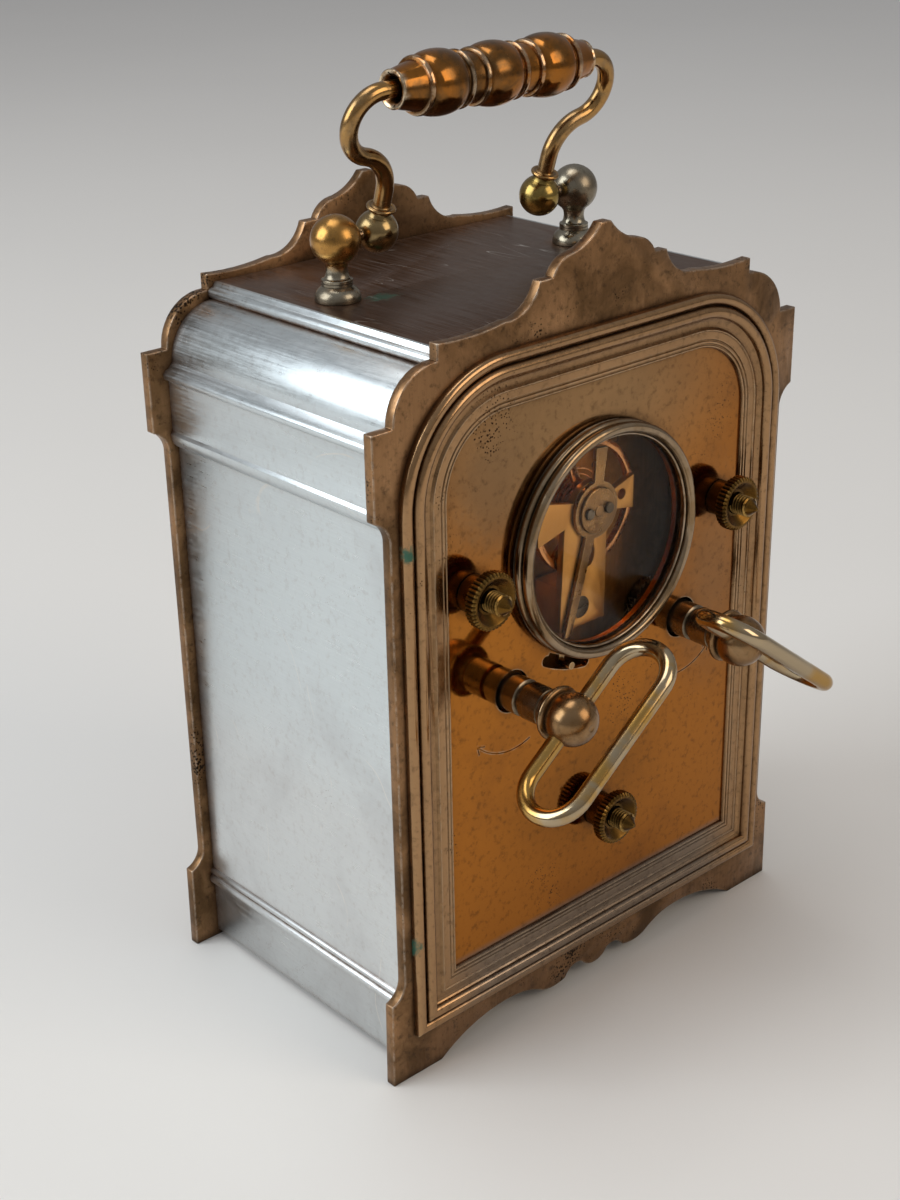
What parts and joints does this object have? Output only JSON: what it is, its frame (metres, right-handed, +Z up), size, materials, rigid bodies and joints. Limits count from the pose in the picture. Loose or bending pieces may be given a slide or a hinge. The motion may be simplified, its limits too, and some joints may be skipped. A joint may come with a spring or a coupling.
{
  "type": "travel clock",
  "caption": "Small carriage-style alarm clock: fretted metal case, swinging turned handle, two loop winding keys, rear window on the balance, hinged glazed dial door.",
  "frame": {"origin": "centre of the bounding box, on the plane that the feet stand on", "axes": "+X across the clock to the alarm winding key, +Y out of the back, +Z up"},
  "size_m": [0.0808, 0.0745, 0.1361],
  "materials": {
    "silver_sheet": "worn bright nickel plate",
    "aged_plate": "tarnished nickel over brass",
    "aged_panel": "tarnished nickel over brass",
    "nickel": "worn nickel",
    "key_brass": "nickel worn to brass",
    "handle_brass": "nickel worn to brass",
    "nut_brass": "aged brass",
    "movement_brass": "polished brass",
    "balance_copper": "copper tone",
    "steel": "machined steel",
    "bell_metal": "turned bell metal",
    "enamel": "white enamel",
    "surround": "polished brass",
    "blued_steel": "blued steel",
    "clear_glass": "clear"
  },
  "bodies": {
    "case": {"case_body": "silver_sheet", "base_plate": "silver_sheet", "base_screws": "steel", "back_plate": "aged_plate", "back_panel": "aged_panel", "front_plate": "aged_plate", "front_panel": "aged_panel", "window_bezel": "nickel", "window_glass": "clear_glass", "handle_posts": "nickel", "post_nuts": "steel", "pivot_pins": "handle_brass", "movement_rear_plate": "movement_brass", "movement_front_plate": "movement_brass", "pillars": "nut_brass", "pillar_sleeves": "nut_brass", "thumb_nuts": "nut_brass", "click_springs": "steel", "escapement_bridge": "movement_brass", "hairspring": "balance_copper", "balance_cock": "movement_brass", "end_cap": "steel", "movement_screws": "steel", "bell": "bell_metal", "bell_post": "bell_metal", "dial": "enamel", "dial_surround": "surround", "door_hinge_ears": "nickel", "door_hinge_pin": "nickel"},
    "handle": {"handle_wire": "handle_brass"},
    "grip": {"handle_grip": "handle_brass"},
    "time_winding": {"time_key": "nickel", "time_key_loop": "key_brass", "time_winding_arbor": "steel"},
    "alarm_winding": {"alarm_key": "nickel", "alarm_key_loop": "key_brass", "alarm_winding_arbor": "steel"},
    "time_barrel": {"time_barrel": "movement_brass", "time_mainspring": "steel"},
    "alarm_barrel": {"alarm_barrel": "movement_brass", "alarm_mainspring": "steel"},
    "time_click": {"time_click": "steel"},
    "alarm_click": {"alarm_click": "steel"},
    "centre_wheel": {"centre_wheel": "movement_brass"},
    "third_wheel": {"third_wheel": "movement_brass"},
    "fourth_wheel": {"fourth_wheel": "movement_brass"},
    "escape_wheel": {"escape_wheel": "movement_brass"},
    "pallet_lever": {"pallet_lever": "steel"},
    "balance": {"balance_wheel": "balance_copper"},
    "regulator": {"regulator": "steel"},
    "alarm_wheel": {"alarm_wheel": "movement_brass"},
    "hammer": {"alarm_hammer": "steel"},
    "minute_hand": {"cannon_pinion": "movement_brass", "minute_hand": "blued_steel"},
    "minute_wheel": {"minute_wheel": "movement_brass"},
    "hour_hand": {"hour_wheel": "movement_brass", "hour_hand": "blued_steel"},
    "alarm_hand": {"alarm_hand": "blued_steel"},
    "door": {"door_bezel": "nickel", "door_glass": "clear_glass"}
  },
  "joints": [
    {"name": "handle_swing", "type": "hinge", "parent": "case", "child": "handle", "pos_m": [0, -0.01215, 0.1124], "axis": [1, 0, 0], "range_deg": [-81, 84]},
    {"name": "grip_spin", "type": "hinge", "parent": "handle", "child": "grip", "pos_m": [0, -0.00585, 0.1318], "axis": [1, 0, 0], "continuous": true},
    {"name": "time_key_turn", "type": "hinge", "parent": "case", "child": "time_winding", "pos_m": [-0.0172, 0.01555, 0.0541], "axis": [0, -1, 0], "range_deg": [0, 1530]},
    {"name": "alarm_key_turn", "type": "hinge", "parent": "case", "child": "alarm_winding", "pos_m": [0.0172, 0.01555, 0.0541], "axis": [0, -1, 0], "range_deg": [0, 1530]},
    {"name": "fourth_turn", "type": "hinge", "parent": "case", "child": "fourth_wheel", "pos_m": [-0.00948, -0.00445, 0.07438], "axis": [0, 1, 0], "continuous": true},
    {"name": "time_barrel_turn", "type": "hinge", "parent": "case", "child": "time_barrel", "pos_m": [-0.0172, -0.00945, 0.0541], "axis": [0, 1, 0], "continuous": true},
    {"name": "centre_turn", "type": "hinge", "parent": "case", "child": "centre_wheel", "pos_m": [0, -0.00445, 0.057], "axis": [0, 1, 0], "continuous": true},
    {"name": "third_turn", "type": "hinge", "parent": "case", "child": "third_wheel", "pos_m": [-0.00269, -0.00445, 0.0682], "axis": [0, 1, 0], "continuous": true},
    {"name": "escape_turn", "type": "hinge", "parent": "case", "child": "escape_wheel", "pos_m": [-0.01055, -0.00445, 0.08156], "axis": [0, 1, 0], "continuous": true},
    {"name": "lever_rock", "type": "hinge", "parent": "case", "child": "pallet_lever", "pos_m": [-0.00598, 0.00455, 0.07894], "axis": [0, 1, 0], "range_deg": [-4, 4]},
    {"name": "balance_swing", "type": "hinge", "parent": "case", "child": "balance", "pos_m": [0, 0.01155, 0.0755], "axis": [0, 1, 0], "range_deg": [-140, 140], "stiffness_Nm_per_rad": 0.00002},
    {"name": "regulator_swing", "type": "hinge", "parent": "case", "child": "regulator", "pos_m": [0, 0.01395, 0.0755], "axis": [0, -1, 0], "range_deg": [-9, 11]},
    {"name": "alarm_wheel_turn", "type": "hinge", "parent": "case", "child": "alarm_wheel", "pos_m": [0.00887, -0.00445, 0.06852], "axis": [0, 1, 0], "continuous": true},
    {"name": "alarm_barrel_turn", "type": "hinge", "parent": "case", "child": "alarm_barrel", "pos_m": [0.0172, -0.00945, 0.0541], "axis": [0, 1, 0], "continuous": true},
    {"name": "hammer_swing", "type": "hinge", "parent": "case", "child": "hammer", "pos_m": [0.01197, 0.00135, 0.07389], "axis": [0, -1, 0], "range_deg": [-5, 1.4]},
    {"name": "time_click_lift", "type": "hinge", "parent": "case", "child": "time_click", "pos_m": [-0.01439, 0.00875, 0.04639], "axis": [0, -1, 0], "range_deg": [0, 7], "stiffness_Nm_per_rad": 0.00005},
    {"name": "alarm_click_lift", "type": "hinge", "parent": "case", "child": "alarm_click", "pos_m": [0.01439, 0.00875, 0.04639], "axis": [0, 1, 0], "range_deg": [0, 7], "stiffness_Nm_per_rad": 0.00005},
    {"name": "minute_hand_turn", "type": "hinge", "parent": "case", "child": "minute_hand", "pos_m": [0, -0.02845, 0.057], "axis": [0, 1, 0], "continuous": true},
    {"name": "minute_wheel_turn", "type": "hinge", "parent": "case", "child": "minute_wheel", "pos_m": [0.0036, -0.02045, 0.05076], "axis": [0, 1, 0], "continuous": true},
    {"name": "hour_hand_turn", "type": "hinge", "parent": "case", "child": "hour_hand", "pos_m": [0, -0.02845, 0.057], "axis": [0, 1, 0], "continuous": true},
    {"name": "alarm_hand_turn", "type": "hinge", "parent": "case", "child": "alarm_hand", "pos_m": [0, -0.02745, 0.057], "axis": [0, 1, 0], "continuous": true},
    {"name": "door_swing", "type": "hinge", "parent": "case", "child": "door", "pos_m": [0.0289, -0.03595, 0.057], "axis": [0, 0, 1], "range_deg": [0, 110]}
  ],
  "couplings": [
    {"joint": "escape_turn", "follows": "fourth_turn", "ratio": -10},
    {"joint": "third_turn", "follows": "fourth_turn", "ratio": -0.13333},
    {"joint": "centre_turn", "follows": "fourth_turn", "ratio": 0.016667},
    {"joint": "time_barrel_turn", "follows": "fourth_turn", "ratio": -0.0026316},
    {"joint": "alarm_wheel_turn", "follows": "alarm_barrel_turn", "ratio": -9.5},
    {"joint": "minute_wheel_turn", "follows": "minute_hand_turn", "ratio": -0.33333},
    {"joint": "hour_hand_turn", "follows": "minute_hand_turn", "ratio": 0.083333}
  ]
}
